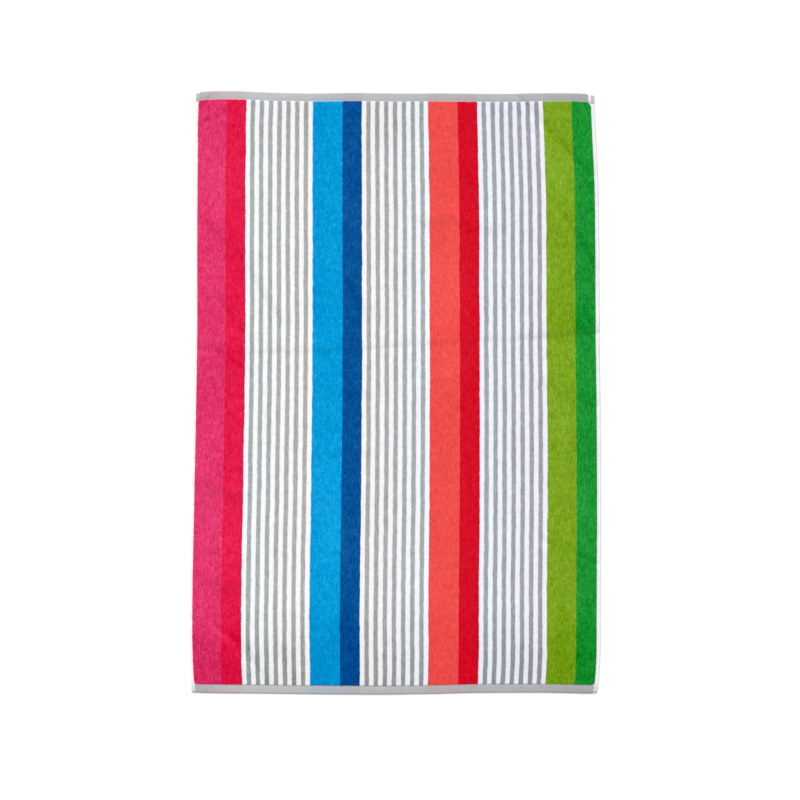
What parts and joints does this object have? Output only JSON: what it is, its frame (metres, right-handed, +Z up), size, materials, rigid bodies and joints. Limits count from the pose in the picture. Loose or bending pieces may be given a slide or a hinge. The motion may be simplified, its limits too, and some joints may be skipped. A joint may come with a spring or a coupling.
{
  "type": "bath towel",
  "caption": "Rectangular striped terry bath towel spread flat in one layer, with flat-woven end hems, narrow side hems, a soft packing crease and low ripples.",
  "frame": {"origin": "middle of the towel's bounding box, on the surface it lies on", "axes": "+X across the towel towards its green side, +Y along the stripes towards the top end, +Z up out of the face"},
  "size_m": [1.0199, 1.4956, 0.0069],
  "materials": {
    "terry_cloth": "matt velour pile in bright lengthwise bands between groups of fine grey and white stripes",
    "end_hem_weave": "matt grey flat weave, turned and stitched",
    "side_hem_weave": "matt white flat weave, turned and stitched",
    "sewing_thread": "fine polyester thread with a slight sheen"
  },
  "bodies": {
    "root": {"towel": "terry_cloth"}
  },
  "joints": []
}
